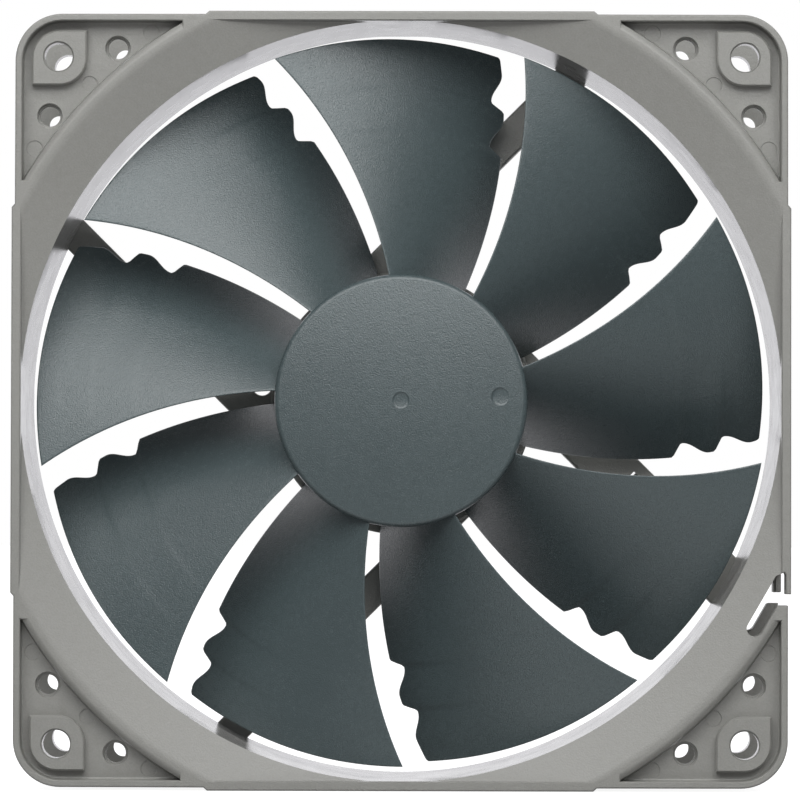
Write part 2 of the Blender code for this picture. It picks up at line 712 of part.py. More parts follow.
def build_stator(parts, tools, axis, materials):
    """The laminated core with its end insulators, four coils and three winding pins."""
    reach = HUB_RADIUS - HUB_WALL - GAP - YOKE_WALL - GAP - MAGNET_WALL - AIR_GAP
    core_hole = arc((0, 0), STATOR_BORE, 0.0, 2 * math.pi, 32)[:-1]
    outline = stator_outline(CORE_RING, NECK_HALF, reach, SHOE_HALF_ANGLE, SHOE_DEPTH)
    core = plate("stator_core", [outline, core_hole], STATOR_BOTTOM, STATOR_TOP, parts, axis)
    core.data.materials.append(materials["lamination steel"])

    arm_half = NECK_HALF + 0.4 * MM
    outline = stator_outline(CORE_RING + 0.6 * MM, arm_half, reach - 0.5 * MM,
                             math.radians(24.0), 1.0 * MM)
    levels = [
        ("upper_insulator", STATOR_TOP + GAP, STATOR_TOP + GAP + INSULATOR),
        ("lower_insulator", STATOR_BOTTOM - GAP - INSULATOR, STATOR_BOTTOM - GAP),
    ]
    for name, bottom, top in levels:
        insulator = plate(name, [outline, core_hole], bottom, top, parts, axis)
        insulator.data.materials.append(materials["white nylon"])

    inner_half = arm_half + GAP
    inner_low = STATOR_BOTTOM - GAP - INSULATOR - GAP
    inner_high = STATOR_TOP + GAP + INSULATOR + GAP
    middle = (inner_low + inner_high) / 2
    inner_tall = (inner_high - inner_low) / 2
    outer_half = inner_half + COIL_BUILD
    outer_tall = inner_tall + COIL_BUILD
    bend = 1.4 * MM
    outer = []
    for quarter, (sx, sy) in enumerate([(1, 1), (-1, 1), (-1, -1), (1, -1)]):
        centre = (sx * (outer_half - bend), sy * (outer_tall - bend))
        start = quarter * math.pi / 2
        outer += arc(centre, bend, start, start + math.pi / 2, 4)
    inner = [(inner_half, inner_tall), (-inner_half, inner_tall), (-inner_half, -inner_tall),
             (inner_half, -inner_tall)]
    pattern = plate("coil_1", [outer, inner], COIL_INNER_RADIUS, COIL_OUTER_RADIUS, parts, axis)
    pattern.data.materials.append(materials["copper"])
    coils = [pattern]
    for pole in range(1, POLES):
        coils.append(place("coil_%d" % (pole + 1), pattern.data, parts, axis))
    for pole, coil in enumerate(coils):
        coil.rotation_mode = "XYZ"
        coil.rotation_euler = (math.pi / 2, 0.0, math.pi / 2 + pole * math.pi / 2)
        coil.location = (0.0, 0.0, middle)

    pin_top = inner_low
    pin_bottom = BOARD_TOP - BOARD_THICKNESS - 0.6 * MM
    for index in range(3):
        at = arc((0, 0), PIN_CIRCLE, math.radians(45.0 + 90.0 * index), 0.0, 1)[0]
        pin = rod("winding_pin_%d" % (index + 1), PIN_RADIUS, pin_bottom, pin_top, at, parts,
                  axis, 12)
        pin.data.materials.append(materials["brass"])


def build_board(parts, tools, axis, materials):
    """The round circuit board behind the stator, its components, and the blank rear label."""
    bottom = BOARD_TOP - BOARD_THICKNESS
    disc = arc((0, 0), BOARD_RADIUS, 0.0, 2 * math.pi, 48)[:-1]
    hole = arc((0, 0), STATOR_BORE, 0.0, 2 * math.pi, 24)[:-1]
    outlines = [disc, hole]
    for index in range(3):
        at = arc((0, 0), PIN_CIRCLE, math.radians(45.0 + 90.0 * index), 0.0, 1)[0]
        outlines.append(arc(at, PIN_RADIUS + GAP, 0.0, 2 * math.pi, 10)[:-1])
    board = plate("circuit_board", outlines, bottom, BOARD_TOP, parts, axis)
    board.data.materials.append(materials["board green"])

    under = bottom - GAP
    sensor_size = (1.6 * MM, 3.0 * MM, 0.8 * MM)
    small = [
        ("hall_sensor", sensor_size, 13.9 * MM, 45.0, BOARD_TOP + GAP + 0.4 * MM, "black epoxy"),
        ("driver_chip", (4.0 * MM, 5.0 * MM, 1.4 * MM), 11.5 * MM, 200.0, under - 0.7 * MM,
         "black epoxy"),
        ("capacitor", (2.0 * MM, 3.2 * MM, 1.2 * MM), 11.0 * MM, 110.0, under - 0.6 * MM,
         "ceramic tan"),
        ("resistor", (1.2 * MM, 2.0 * MM, 0.6 * MM), 11.0 * MM, 60.0, under - 0.3 * MM,
         "black epoxy"),
        ("diode", (1.6 * MM, 2.8 * MM, 1.1 * MM), 11.0 * MM, 290.0, under - 0.55 * MM,
         "black epoxy"),
    ]
    for name, size, out, degrees, height, finish in small:
        angle = math.radians(degrees)
        centre = (out * math.cos(angle), out * math.sin(angle), height)
        chip = block(name, size, centre, parts, axis, angle)
        chip.data.materials.append(materials[finish])

    label_bottom = REAR + 0.05 * MM
    label = rod("rear_label", LABEL_RADIUS - GAP, label_bottom, label_bottom + 0.25 * MM, (0, 0),
                parts, axis, 64)
    label.data.materials.append(materials["label"])


def main():
    clear_scene()
    parts = bpy.data.collections.new("case_fan")
    tools = bpy.data.collections.new("cutters")
    for collection in (parts, tools):
        bpy.context.scene.collection.children.link(collection)

    fan_axis = place("fan_axis", None, parts, None)
    fan_axis.location = (0.0, 0.0, PANEL_HALF)
    fan_axis.rotation_euler = (math.pi / 2, 0.0, 0.0)
    rotor_axis = place("rotor_axis", None, parts, fan_axis)

    materials = {
        "frame plastic": make_material("frame plastic", (0.30, 0.30, 0.27), 0.48),
        "blade plastic": make_material("blade plastic", (0.070, 0.088, 0.092), 0.50),
        "steel": make_material("steel", (0.56, 0.57, 0.58), 0.30, 1.0),
        "lamination steel": make_material("lamination steel", (0.38, 0.38, 0.40), 0.42, 1.0),
        "ferrite": make_material("ferrite", (0.045, 0.042, 0.040), 0.60),
        "brass": make_material("brass", (0.72, 0.55, 0.26), 0.32, 1.0),
        "bronze": make_material("bronze", (0.50, 0.34, 0.18), 0.50, 1.0),
        "copper": make_material("copper", (0.72, 0.33, 0.17), 0.35, 1.0),
        "white nylon": make_material("white nylon", (0.78, 0.77, 0.73), 0.50),
        "rubber": make_material("rubber", (0.03, 0.03, 0.03), 0.75),
        "board green": make_material("board green", (0.02, 0.13, 0.06), 0.40),
        "black epoxy": make_material("black epoxy", (0.02, 0.02, 0.02), 0.45),
        "ceramic tan": make_material("ceramic tan", (0.45, 0.33, 0.20), 0.55),
        "label": make_material("label", (0.62, 0.62, 0.60), 0.40),
    }
    build_frame(parts, tools, fan_axis, materials["frame plastic"])
    build_bearing(parts, fan_axis, materials)
    build_stator(parts, tools, fan_axis, materials)
    build_board(parts, tools, fan_axis, materials)
    build_rotor(parts, tools, rotor_axis, materials)


main()
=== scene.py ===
"""How the case fan looks: a finely modelled frame and impeller, materials, studio and camera.

Shapes are made in the fan's own axes, as in the CAD model: x right and y up as seen from the
intake, z along the axis towards it. The matrix FAN stands them up in the row frame.
"""
import math

import bmesh
import bpy
from mathutils import Matrix, Vector


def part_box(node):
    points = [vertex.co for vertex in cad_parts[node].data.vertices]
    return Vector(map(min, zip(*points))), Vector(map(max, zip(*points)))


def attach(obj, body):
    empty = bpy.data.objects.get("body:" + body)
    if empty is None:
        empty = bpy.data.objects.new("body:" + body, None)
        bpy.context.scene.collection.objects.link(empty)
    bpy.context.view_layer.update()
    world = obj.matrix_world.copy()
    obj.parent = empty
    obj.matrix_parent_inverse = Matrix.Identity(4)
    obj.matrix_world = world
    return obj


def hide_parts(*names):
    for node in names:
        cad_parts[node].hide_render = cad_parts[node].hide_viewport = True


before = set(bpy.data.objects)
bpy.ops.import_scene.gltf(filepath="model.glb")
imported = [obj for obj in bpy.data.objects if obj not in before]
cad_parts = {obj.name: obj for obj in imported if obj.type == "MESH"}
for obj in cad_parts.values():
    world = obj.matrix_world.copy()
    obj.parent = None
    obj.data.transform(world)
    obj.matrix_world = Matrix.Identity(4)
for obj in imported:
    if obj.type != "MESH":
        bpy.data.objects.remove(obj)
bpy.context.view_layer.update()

MM = 0.001
FRAME_LOW, FRAME_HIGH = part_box("frame")
PANEL_HALF = (FRAME_HIGH.x - FRAME_LOW.x) / 2
FRONT = (FRAME_HIGH.y - FRAME_LOW.y) / 2
REAR = -FRONT
FAN = Matrix.Translation((0.0, 0.0, PANEL_HALF)) @ Matrix.Rotation(math.pi / 2, 4, "X")


# ---- materials ----

def add_node(tree, kind, inputs=None, **settings):
    """A new node. An input is a value, or a socket to link."""
    node = tree.nodes.new(kind)
    for name, value in settings.items():
        setattr(node, name, value)
    for name, value in (inputs or {}).items():
        if isinstance(value, bpy.types.NodeSocket):
            tree.links.new(value, node.inputs[name])
        else:
            node.inputs[name].default_value = value
    return node


def texture(tree, place, kind, size):
    """A texture value about 0.5 whose features measure size, in metres."""
    if kind == "grain":
        inputs = {"Vector": place, "Scale": 1 / size, "Detail": 2.0, "Roughness": 0.6}
        return add_node(tree, "ShaderNodeTexNoise", inputs).outputs["Fac"]
    if kind == "pores":
        inputs = {"Vector": place, "Scale": 1 / size}
        return add_node(tree, "ShaderNodeTexVoronoi", inputs).outputs["Distance"]
    inputs = {"Vector": place, "Scale": 0.314 / size, "Distortion": 0.4, "Detail": 1.0}
    if kind == "rings":
        wave = add_node(tree, "ShaderNodeTexWave", inputs, wave_type="RINGS", rings_direction="Y")
    else:
        wave = add_node(tree, "ShaderNodeTexWave", inputs, bands_direction=kind)
    return wave.outputs["Fac"]


def swing(tree, value, amount, middle):
    """The texture value scaled to vary by plus or minus amount about a middle."""
    inputs = {"Value": value, "To Min": middle - amount, "To Max": middle + amount}
    return add_node(tree, "ShaderNodeMapRange", inputs, clamp=False).outputs["Result"]


def surface(name, colour, roughness, metallic, details):
    """A material whose colour, roughness and relief vary with a few textures.

    Each detail is (kind, feature size, colour change, roughness change, relief depth).
    """
    material = bpy.data.materials.new(name)
    material.use_nodes = True
    tree = material.node_tree
    shader = tree.nodes["Principled BSDF"]
    shader.inputs["Metallic"].default_value = metallic
    place = add_node(tree, "ShaderNodeTexCoord").outputs["Object"]
    tint = None
    rough = None
    normal = None
    for kind, size, colour_change, rough_change, depth in details:
        value = texture(tree, place, kind, size)
        if colour_change:
            change = swing(tree, value, colour_change, 1.0)
            inputs = {0: tint or tuple(colour), "Scale": change}
            tint = add_node(tree, "ShaderNodeVectorMath", inputs, operation="SCALE").outputs[0]
        if rough_change:
            change = swing(tree, value, rough_change, 0.0 if rough else roughness)
            if rough:
                change = add_node(tree, "ShaderNodeMath", {0: rough, 1: change}).outputs[0]
            rough = change
        if depth:
            inputs = {"Height": value, "Distance": depth}
            if normal:
                inputs["Normal"] = normal
            normal = add_node(tree, "ShaderNodeBump", inputs).outputs["Normal"]
    tree.links.new(tint, shader.inputs["Base Color"])
    tree.links.new(rough, shader.inputs["Roughness"])
    tree.links.new(normal, shader.inputs["Normal"])
    return material


FINISHES = {
    "frame_plastic": surface("moulded_frame_plastic", (0.246, 0.245, 0.228), 0.46, 0.0, [
        ("grain", 0.26 * MM, 0.14, 0.08, 0.036 * MM),
        ("grain", 1.30 * MM, 0.06, 0.05, 0.025 * MM),
        ("grain", 26.0 * MM, 0.06, 0.06, 0.0)]),
    "blade_plastic": surface("moulded_blade_plastic", (0.064, 0.087, 0.091), 0.27, 0.0, [
        ("grain", 0.20 * MM, 0.10, 0.06, 0.055 * MM),
        ("grain", 1.10 * MM, 0.06, 0.04, 0.012 * MM),
        ("grain", 22.0 * MM, 0.08, 0.06, 0.0)]),
    "steel": surface("turned_steel", (0.56, 0.57, 0.58), 0.30, 1.0, [
        ("rings", 0.10 * MM, 0.05, 0.10, 0.002 * MM),
        ("grain", 3.0 * MM, 0.06, 0.08, 0.002 * MM)]),
    "lamination_steel": surface("stacked_laminations", (0.36, 0.36, 0.38), 0.42, 1.0, [
        ("Y", 0.50 * MM, 0.35, 0.12, 0.060 * MM),
        ("grain", 0.8 * MM, 0.12, 0.10, 0.004 * MM)]),
    "ferrite": surface("pressed_ferrite", (0.045, 0.042, 0.040), 0.60, 0.0, [
        ("grain", 0.30 * MM, 0.30, 0.10, 0.020 * MM),
        ("grain", 4.0 * MM, 0.15, 0.08, 0.0)]),
    "brass": surface("turned_brass", (0.72, 0.55, 0.26), 0.32, 1.0, [
        ("rings", 0.12 * MM, 0.05, 0.08, 0.003 * MM),
        ("grain", 2.5 * MM, 0.10, 0.10, 0.002 * MM)]),
    "bronze": surface("sintered_bronze", (0.50, 0.34, 0.18), 0.50, 1.0, [
        ("pores", 0.18 * MM, 0.30, 0.12, 0.020 * MM),
        ("grain", 2.0 * MM, 0.12, 0.08, 0.0)]),
    "nylon": surface("natural_nylon", (0.74, 0.73, 0.68), 0.48, 0.0, [
        ("grain", 0.25 * MM, 0.03, 0.06, 0.012 * MM),
        ("grain", 6.0 * MM, 0.04, 0.05, 0.0)]),
    "rubber": surface("moulded_rubber", (0.030, 0.030, 0.031), 0.72, 0.0, [
        ("grain", 0.15 * MM, 0.20, 0.10, 0.015 * MM),
        ("grain", 3.0 * MM, 0.12, 0.06, 0.0)]),
    "board": surface("green_solder_mask", (0.020, 0.130, 0.060), 0.38, 0.0, [
        ("X", 0.9 * MM, 0.10, 0.04, 0.008 * MM),
        ("grain", 0.5 * MM, 0.10, 0.08, 0.006 * MM)]),
    "epoxy": surface("chip_epoxy", (0.022, 0.022, 0.024), 0.46, 0.0, [
        ("grain", 0.08 * MM, 0.25, 0.10, 0.008 * MM),
        ("grain", 1.2 * MM, 0.12, 0.06, 0.0)]),
    "ceramic": surface("capacitor_ceramic", (0.44, 0.32, 0.19), 0.52, 0.0, [
        ("grain", 0.12 * MM, 0.10, 0.08, 0.006 * MM),
        ("grain", 1.0 * MM, 0.08, 0.05, 0.0)]),
    "label": surface("blank_foil_label", (0.60, 0.60, 0.58), 0.34, 0.0, [
        ("grain", 0.15 * MM, 0.04, 0.08, 0.004 * MM),
        ("grain", 9.0 * MM, 0.05, 0.08, 0.050 * MM)]),
}
DUCT_WALL = surface("polished_duct_wall", (0.292, 0.290, 0.280), 0.18, 0.0, [
    ("grain", 3.0 * MM, 0.06, 0.06, 0.003 * MM),
    ("grain", 12.0 * MM, 0.05, 0.05, 0.0)])
wall_shader = DUCT_WALL.node_tree.nodes["Principled BSDF"]
wall_shader.inputs["Specular Tint"].default_value = (0.96, 0.95, 1.0, 1.0)
COPPER_ROWS = {
    axis: surface("wound_copper_" + axis.lower(), (0.70, 0.30, 0.14), 0.34, 1.0, [
        (axis, 0.21 * MM, 0.30, 0.10, 0.060 * MM),
        ("grain", 0.6 * MM, 0.12, 0.10, 0.006 * MM)])
    for axis in ("X", "Z")
}
NODE_SLOTS = {
    "steel": ["rotor_yoke", "shaft"],
    "lamination_steel": ["stator_core"],
    "ferrite": ["ring_magnet"],
    "brass": ["bearing_tube", "shaft_bushing", "winding_pin_1", "winding_pin_2", "winding_pin_3"],
    "bronze": ["sleeve_bearing"],
    "nylon": ["upper_insulator", "lower_insulator", "thrust_pad", "oil_slinger", "retaining_clip"],
    "rubber": ["oil_seal", "bearing_cap"],
    "board": ["circuit_board"],
    "epoxy": ["hall_sensor", "driver_chip", "resistor", "diode"],
    "ceramic": ["capacitor"],
    "label": ["rear_label"],
    "frame_plastic": ["frame"],
    "blade_plastic": ["impeller"],
}


def give_finish(obj, material):
    """Make a material an object's only one."""
    obj.data.materials.clear()
    obj.data.materials.append(material)


def dress_cad_nodes():
    """The inner parts keep their CAD shapes and get their finishes."""
    for slot, names in NODE_SLOTS.items():
        for name in names:
            give_finish(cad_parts[name], FINISHES[slot])
    for pole in range(4):
        rows = "Z" if pole % 2 == 0 else "X"
        give_finish(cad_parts["coil_%d" % (pole + 1)], COPPER_ROWS[rows])


# ---- shape tools ----

SHARP_ANGLE = math.radians(32.0)
CLEAR = 1.0 * MM
FAR = 20.0 * MM


def new_object(name, data):
    """A mesh, lamp or camera as an object in the scene."""
    made = bpy.data.objects.new(name, data)
    bpy.context.scene.collection.objects.link(made)
    return made


def mesh_of(name, points, faces):
    """A mesh made from points and faces."""
    mesh = bpy.data.meshes.new(name)
    mesh.from_pydata(points, [], faces)
    mesh.update()
    return mesh


def arc(centre, radius, start, end, steps):
    """Points along an arc, both ends included. Angles are in degrees."""
    points = []
    for i in range(steps + 1):
        angle = math.radians(start + (end - start) * i / steps)
        points.append((centre[0] + radius * math.cos(angle), centre[1] + radius * math.sin(angle)))
    return points


def turn_points(points, degrees):
    """Points in the plane turned about the origin."""
    cosine, sine = math.cos(math.radians(degrees)), math.sin(math.radians(degrees))
    return [(x * cosine - y * sine, x * sine + y * cosine) for x, y in points]


def rectangle(left, right, low, high):
    """A rectangle's corners, anticlockwise."""
    return [(left, low), (right, low), (right, high), (left, high)]


def turned(name, profile, segments, closed=True):
    """A shape turned about z from (radius, height) points that run down its outer side."""
    rows = []
    points = []
    for radius, height in profile:
        if radius < 1e-9:
            rows.append([len(points)] * segments)
            points.append((0.0, 0.0, height))
            continue
        rows.append(range(len(points), len(points) + segments))
        for i in range(segments):
            angle = 2 * math.pi * i / segments
            points.append((radius * math.cos(angle), radius * math.sin(angle), height))
    pairs = list(zip(rows, rows[1:]))
    if closed:
        pairs.append((rows[-1], rows[0]))
    faces = []
    for upper, lower in pairs:
        for i in range(segments):
            j = (i + 1) % segments
            corners = [upper[i], lower[i], lower[j], upper[j]]
            face = sorted(set(corners), key=corners.index)
            if len(face) > 2:
                faces.append(face)
    return new_object(name, mesh_of(name, points, faces))


def offset_outline(points, distance):
    """An anticlockwise outline moved outwards by a distance, with mitred corners."""
    moved = []
    for before, here, after in zip(points[-1:] + points[:-1], points, points[1:] + points[:1]):
        a = (Vector(here) - Vector(before)).normalized()
        b = (Vector(after) - Vector(here)).normalized()
        mitre = Vector((a.y + b.y, -a.x - b.x)) / (1 + a.dot(b))
        moved.append((here[0] + mitre.x * distance, here[1] + mitre.y * distance))
    return moved


def prism(name, outline, levels):
    """An anticlockwise outline built up through (outward offset, height) levels."""
    points = []
    for distance, height in levels:
        points += [(x, y, height) for x, y in offset_outline(outline, distance)]
    count = len(outline)
    faces = [list(range(count))[::-1], list(range(len(points) - count, len(points)))]
    for level in range(len(levels) - 1):
        for i in range(count):
            j = (i + 1) % count
            base = level * count
            faces.append([base + i, base + j, base + count + j, base + count + i])
    return new_object(name, mesh_of(name, points, faces))


def quarter_round(radius, height, way):
    """Levels round an edge of a prism: way is 1 at its lower edge and -1 at its upper edge."""
    if not radius:
        return [(0.0, height)]
    levels = []
    for i in range(4):
        angle = math.pi / 6 * i
        levels.append((radius * (math.sin(angle) - 1), height + way * radius * (1 - math.cos(angle))))
    return levels


def rounded_levels(bottom, top, low_round, high_round):
    """A prism's levels from bottom to top, with its two edges rounded."""
    return quarter_round(low_round, bottom, 1) + quarter_round(high_round, top, -1)[::-1]


def settle(obj):
    """Apply an object's modifiers."""
    bpy.context.view_layer.update()
    graph = bpy.context.evaluated_depsgraph_get()
    mesh = bpy.data.meshes.new_from_object(obj.evaluated_get(graph))
    obj.modifiers.clear()
    obj.data = mesh


def combine(target, tools, operation):
    """Join, cut or intersect a shape with others, which are used up."""
    for tool in tools:
        step = target.modifiers.new(tool.name, "BOOLEAN")
        step.operation = operation
        step.solver = "EXACT"
        step.object = tool
    settle(target)
    for tool in tools:
        bpy.data.objects.remove(tool)


def gather(target, parts):
    """Add parts that are sunk into a shape to its mesh. They are used up."""
    work = bmesh.new()
    work.from_mesh(target.data)
    for part in parts:
        work.from_mesh(part.data)
        bpy.data.objects.remove(part)
    work.to_mesh(target.data)
    work.free()


def mirrored(obj, axes):
    """The shape with its mirror images across the planes through the fan's centre."""
    for axis in axes:
        step = obj.modifiers.new("mirror", "MIRROR")
        step.use_axis[0] = axis == 0
        step.use_axis[axis] = True
        step.use_mirror_merge = False
    settle(obj)
    return obj


def finish_piece(obj, body, slot, nodes):
    """Shade a finished shape, stand it up in the row frame and hand it to its body."""
    obj.data.shade_smooth()
    obj.data.set_sharp_from_angle(angle=SHARP_ANGLE)
    flat_faces = obj.modifiers.new("flat_faces", "WEIGHTED_NORMAL")
    flat_faces.keep_sharp = True
    settle(obj)
    give_finish(obj, FINISHES[slot])
    obj.matrix_world = FAN
    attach(obj, body)
    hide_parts(*nodes)


# ---- frame ----

# Outline.
FLANGE_HALF = PANEL_HALF - 0.5 * MM
PANEL_END = 29.4 * MM
PANEL_RAMP = 0.55 * MM
PANEL_INNER = 58.0 * MM
CORNER_RADIUS = 7.2 * MM
EDGE = 0.3 * MM
FLANGE_THICKNESS = 4.0 * MM
# Air passage.
BORE_RADIUS = 58.23 * MM
BORE_REAR_RADIUS = 57.7 * MM
EXHAUST_RADIUS = 61.3 * MM
EXHAUST_DEPTH = 4.0 * MM
EXHAUST_BEND = 1.4
DUCT_OUTER = 59.4 * MM
CROWN_RADIUS = 65.5 * MM
CROWN_ROUNDING = 4.0 * MM
FLARE_SLOPE = math.radians(17.0)
# Corner recesses. The shoulder is the rounded wall between a recess and the intake.
SHOULDER_TOP = 65.7 * MM
SHOULDER_EDGE = 66.7 * MM
SHOULDER_FOOT = 67.1 * MM
SHOULDER_DROP = 0.45 * MM
TAIL_END = 33.5 * MM
POCKET_DEPTH = 2.5 * MM
POCKET_WALL = 1.05 * MM
POCKET_INNER = 64.0 * MM
POCKET_ROUNDING = 0.35 * MM
BOSS = 52.35 * MM
BOSS_DROP = 1.0 * MM
BOSS_HALF = 4.2 * MM
BOSS_BEVEL = 0.25 * MM
GAP_SHELF = 20.0 * MM
GAP_REACH = 63.0 * MM
# Holes.
HOLE = 52.5 * MM
HOLE_RADIUS = 2.15 * MM
PEGS = [(43.5 * MM, 53.9 * MM), (53.9 * MM, 43.5 * MM)]
PEG_RADIUS = 1.5 * MM
PEG_SEAT_RADIUS = 1.87 * MM
PEG_SEAT_DEPTH = 1.1 * MM
CHAMFER = 0.12 * MM
PIN_MARKS = [(56.2 * MM, 38.5 * MM), (38.4 * MM, 56.3 * MM), (47.8 * MM, 48.4 * MM)]
PIN_MARK_RADIUS = 1.2 * MM
PIN_MARK_DEPTH = 0.14 * MM
# Cable slot: the centre and radius of its round end, its mouth's two edges, and its lip.
FRONT_SLOT = ((53.95 * MM, -34.67 * MM), 1.21 * MM, -31.15 * MM, -29.4 * MM, 58.7 * MM)
REAR_SLOT = ((54.30 * MM, -34.25 * MM), 1.20 * MM, -31.3 * MM, -29.5 * MM, 58.3 * MM)
SLOT_SLANT = 60.0
SLOT_LENGTH = 8.6 * MM
SLOT_OUTSIDE = 64.0 * MM
FRONT_SLOT_FLOOR = -9.1 * MM
REAR_SLOT_TOP = -9.0 * MM
PANEL_WINDOW = rectangle(56.0 * MM, 62.0 * MM, -31.0 * MM, -26.2 * MM)
PANEL_WINDOW_HALF = 8.5 * MM
# A face whose normal leans from the frame's plane by less than this is a wall.
WALL_LEAN = 0.12


def frame_outline():
    """The square outline: flat side panels, set slightly proud of the rounded corners."""
    corner = FLANGE_HALF - CORNER_RADIUS
    foot = FLANGE_HALF + 0.02 * MM
    side = [(foot, -PANEL_END - PANEL_RAMP), (PANEL_HALF, -PANEL_END),
            (PANEL_HALF, PANEL_END), (foot, PANEL_END + PANEL_RAMP)]
    side += arc((corner, corner), CORNER_RADIUS, 0.0, 90.0, 18)
    return [p for quarter in range(4) for p in turn_points(side, 90.0 * quarter)]


def bore_cutter():
    """The air passage: a rounded crown, a plain conical intake, the bore, a short exhaust."""
    profile = [(0.0, FRONT + CLEAR), (CROWN_RADIUS, FRONT + CLEAR), (CROWN_RADIUS, FRONT)]
    for i in range(1, 11):
        angle = FLARE_SLOPE * i / 10
        profile.append((CROWN_RADIUS - CROWN_ROUNDING * math.sin(angle),
                        FRONT - CROWN_ROUNDING * (1 - math.cos(angle))))
    fall = (profile[-1][0] - BORE_RADIUS) * math.tan(FLARE_SLOPE)
    profile += [(BORE_RADIUS, profile[-1][1] - fall), (BORE_REAR_RADIUS, REAR + EXHAUST_DEPTH)]
    for i in range(1, 9):
        t = i / 8
        out = (EXHAUST_RADIUS - BORE_REAR_RADIUS) * t ** EXHAUST_BEND
        profile.append((BORE_REAR_RADIUS + out, REAR + EXHAUST_DEPTH * (1 - t)))
    profile += [(EXHAUST_RADIUS, REAR - CLEAR), (0.0, REAR - CLEAR)]
    cutter = turned("bore", profile, 256, closed=False)
    bevel = 0.2 * MM
    box = prism("panel_faces", rectangle(-PANEL_INNER, PANEL_INNER, -PANEL_INNER, PANEL_INNER),
                [(0.0, -FAR), (0.0, FRONT - bevel), (bevel, FRONT + 0.02 * MM), (bevel, FAR)])
    combine(cutter, [box], "INTERSECT")
    return cutter


def corner_gap():
    """The open space between the two flanges at each corner, outside the duct's wall."""
    start = math.degrees(math.asin(GAP_SHELF / DUCT_OUTER))
    end = PANEL_END - 0.5 * MM
    outline = arc((0, 0), DUCT_OUTER, start, 90.0 - start, 40)[::-1]
    outline += [(PANEL_INNER, GAP_SHELF), (PANEL_INNER, end), (GAP_REACH, end),
                (GAP_REACH, GAP_REACH), (end, GAP_REACH), (end, PANEL_INNER),
                (GAP_SHELF, PANEL_INNER)]
    top = FRONT - FLANGE_THICKNESS
    return mirrored(prism("corner_gap", outline, [(0.0, -top), (0.0, top)]), (0, 1))


def shoulder_cutter(floor):
    """The space outside the rounded shoulder that parts a corner recess from the intake."""
    far = 90.0 * MM
    low = FRONT - SHOULDER_DROP
    profile = [(far, FRONT + 2 * CLEAR), (far, floor - CLEAR), (SHOULDER_FOOT, floor - CLEAR),
               (SHOULDER_FOOT, floor), (SHOULDER_EDGE, low)]
    for i in range(1, 9):
        t = i / 8
        profile.append((SHOULDER_EDGE + (SHOULDER_TOP - SHOULDER_EDGE) * t,
                        low + (FRONT - low) * math.sin(math.pi / 2 * t)))
    profile.append((SHOULDER_TOP, FRONT + 2 * CLEAR))
    return turned("shoulder", profile, 256)


def boss():
    """A square pad about a screw hole, rounded towards the frame's corner and its centre."""
    flat = 0.02 * MM
    rounding = BOSS_HALF - flat
    outline = [(BOSS + BOSS_HALF, BOSS - BOSS_HALF)]
    outline += arc((BOSS + flat, BOSS + flat), rounding, 0.0, 90.0, 14)
    outline.append((BOSS - BOSS_HALF, BOSS + BOSS_HALF))
    outline += arc((BOSS - flat, BOSS - flat), rounding, 180.0, 270.0, 14)
    top = FRONT - BOSS_DROP
    levels = [(0.0, FRONT - FLANGE_THICKNESS), (0.0, top - BOSS_BEVEL), (-BOSS_BEVEL, top)]
    return prism("boss", outline, levels)


def pocket_cutter():
    """A corner's recess with its boss left standing, a rounded shoulder inside, and pin marks."""
    wall = FLANGE_HALF - POCKET_WALL
    radius = CORNER_RADIUS - POCKET_WALL
    middle = wall - radius
    tail = math.degrees(math.acos(TAIL_END / POCKET_INNER))
    outline = [(wall, TAIL_END)] + arc((middle, middle), radius, 0.0, 90.0, 14) + [(TAIL_END, wall)]
    outline += arc((0, 0), POCKET_INNER, tail, 90.0 - tail, 24)
    floor = FRONT - POCKET_DEPTH
    bevel = 0.18 * MM
    levels = rounded_levels(floor, FRONT - 0.15 * MM, POCKET_ROUNDING, 0.0)
    levels += [(bevel, FRONT + 0.02 * MM), (bevel, FRONT + CLEAR)]
    pocket = prism("pocket", outline, levels)
    combine(pocket, [shoulder_cutter(floor)], "INTERSECT")
    combine(pocket, [boss()], "DIFFERENCE")
    mark_levels = [(0.0, floor - PIN_MARK_DEPTH), (0.06 * MM, floor + 0.01 * MM)]
    marks = [prism("pin_mark", arc(at, PIN_MARK_RADIUS, 0.0, 350.0, 35), mark_levels)
             for at in PIN_MARKS]
    combine(pocket, marks, "UNION")
    return pocket


def hole_cutter(radius, at, mouth, seat_radius, seat_depth):
    """A through hole that starts with a wider seat, the same from both sides."""
    profile = [(0.0, FRONT + CLEAR), (seat_radius + CHAMFER, FRONT + CLEAR),
               (seat_radius + CHAMFER, mouth), (seat_radius, mouth - CHAMFER),
               (seat_radius, mouth - seat_depth), (radius + CHAMFER, mouth - seat_depth - 0.02 * MM),
               (radius, mouth - seat_depth - 0.16 * MM)]
    profile += [(r, -z) for r, z in profile[::-1]]
    cutter = turned("hole", profile, 48, closed=False)
    cutter.data.transform(Matrix.Translation((at[0], at[1], 0.0)))
    return mirrored(cutter, (0, 1))


def slot_outline(end, radius, mouth_low, mouth_high, lip):
    """The slanted cable slot: a round end, an open mouth, and a narrow top beside the lip."""
    outline = arc(end, radius, SLOT_SLANT + 90.0, SLOT_SLANT + 270.0, 16)
    out = Vector((math.cos(math.radians(SLOT_SLANT)), math.sin(math.radians(SLOT_SLANT))))
    corner = Vector(outline[-1])
    climb = (mouth_low - corner.y) / out.y
    outline.append((corner.x + out.x * climb, mouth_low))
    top = Vector(outline[0]) + out * SLOT_LENGTH
    outline += [(SLOT_OUTSIDE, mouth_low), (SLOT_OUTSIDE, mouth_high), (lip, mouth_high)]
    outline += [(lip, top.y + 0.1 * MM), (lip - 0.12 * MM, top.y + 0.45 * MM),
                (lip - 0.34 * MM, top.y + 0.5 * MM), (top.x, top.y)]
    return outline


